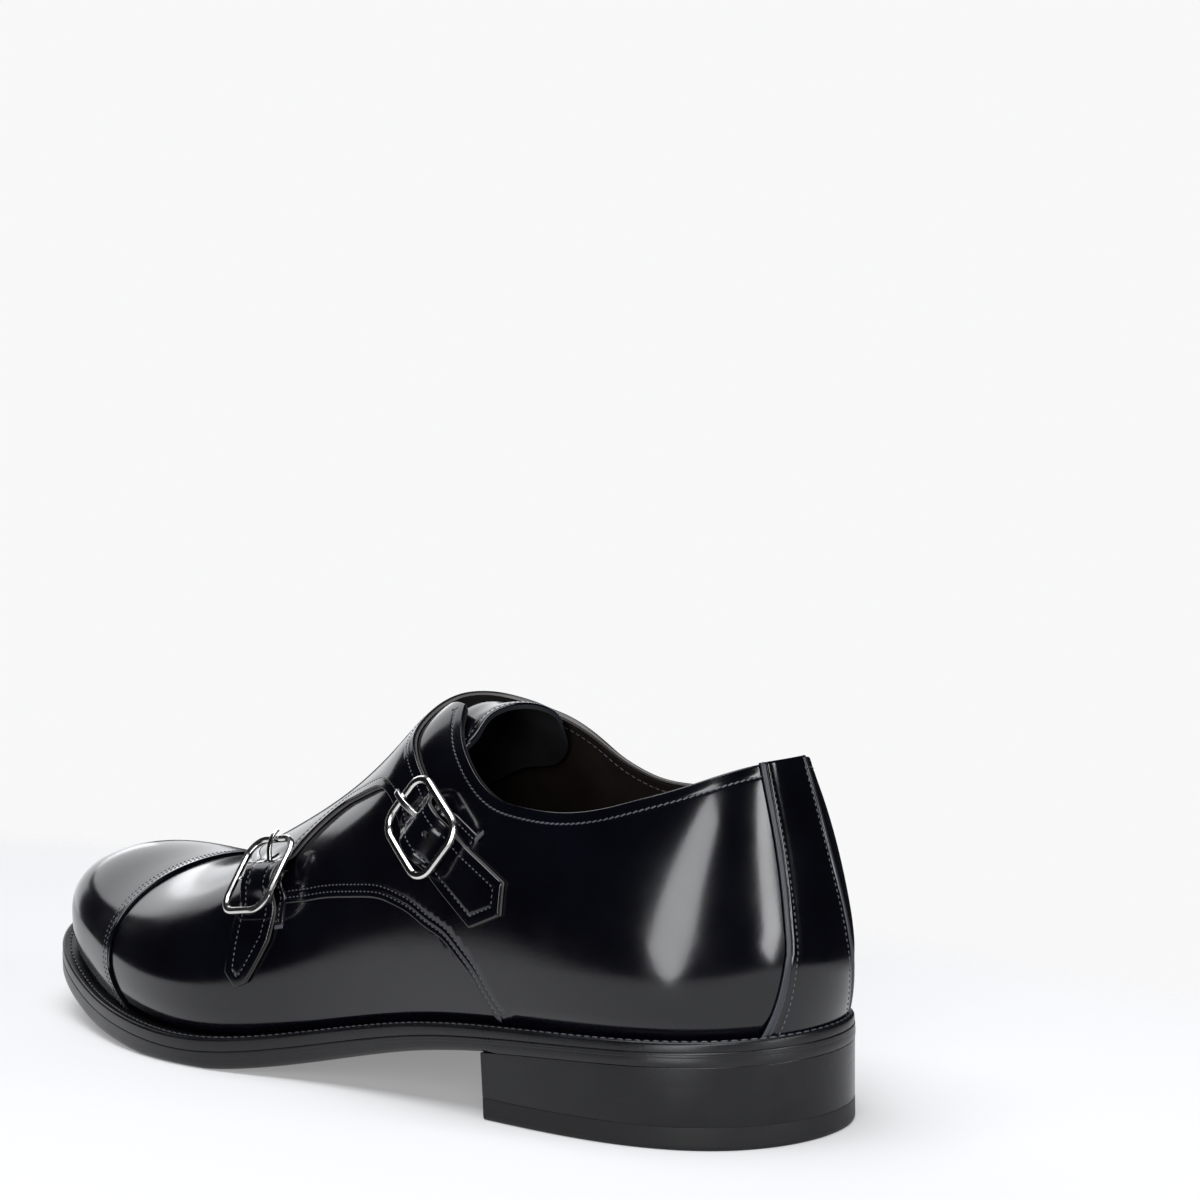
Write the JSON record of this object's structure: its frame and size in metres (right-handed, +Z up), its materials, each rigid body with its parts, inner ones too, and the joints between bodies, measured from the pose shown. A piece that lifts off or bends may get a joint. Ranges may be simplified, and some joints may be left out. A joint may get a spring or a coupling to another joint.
{
  "type": "cap-toe double monk strap shoe",
  "caption": "Black polished leather dress shoe with a stitched toe cap, two buckled instep straps, a padded tongue and a low stacked heel.",
  "frame": {"origin": "on the floor, below the middle of the shoe's bounding box", "axes": "+Z up from the floor the sole stands on, -Y towards the toe and +Y towards the heel, +X towards the buckle side, which is the outer side of a left shoe"},
  "size_m": [0.1038, 0.3053, 0.1073],
  "materials": {
    "upper_leather": "black calf, polished",
    "lining_leather": "dark brown lining leather, matt",
    "sole_edge": "black stained leather, satin edge finish",
    "heel_leather": "black stained stacked leather, satin",
    "heel_rubber": "black rubber, matt",
    "cork": "pressed cork",
    "buckle_metal": "polished nickel plate",
    "thread": "waxed black sewing thread",
    "cut_edge": "raw cut edge of the strap leather"
  },
  "bodies": {
    "root": {"upper": "upper_leather", "toe_cap": "upper_leather", "back_strip": "upper_leather", "tongue": "upper_leather", "buckle_tab_upper": "upper_leather", "buckle_tab_lower": "upper_leather", "insole": "lining_leather", "cork_filler": "cork", "welt": "sole_edge", "outsole": "sole_edge", "heel_block": "heel_leather", "top_lift": "heel_rubber", "buckle_frame_upper": "buckle_metal", "buckle_frame_lower": "buckle_metal", "prong_upper": "buckle_metal", "prong_lower": "buckle_metal"}
  },
  "joints": []
}
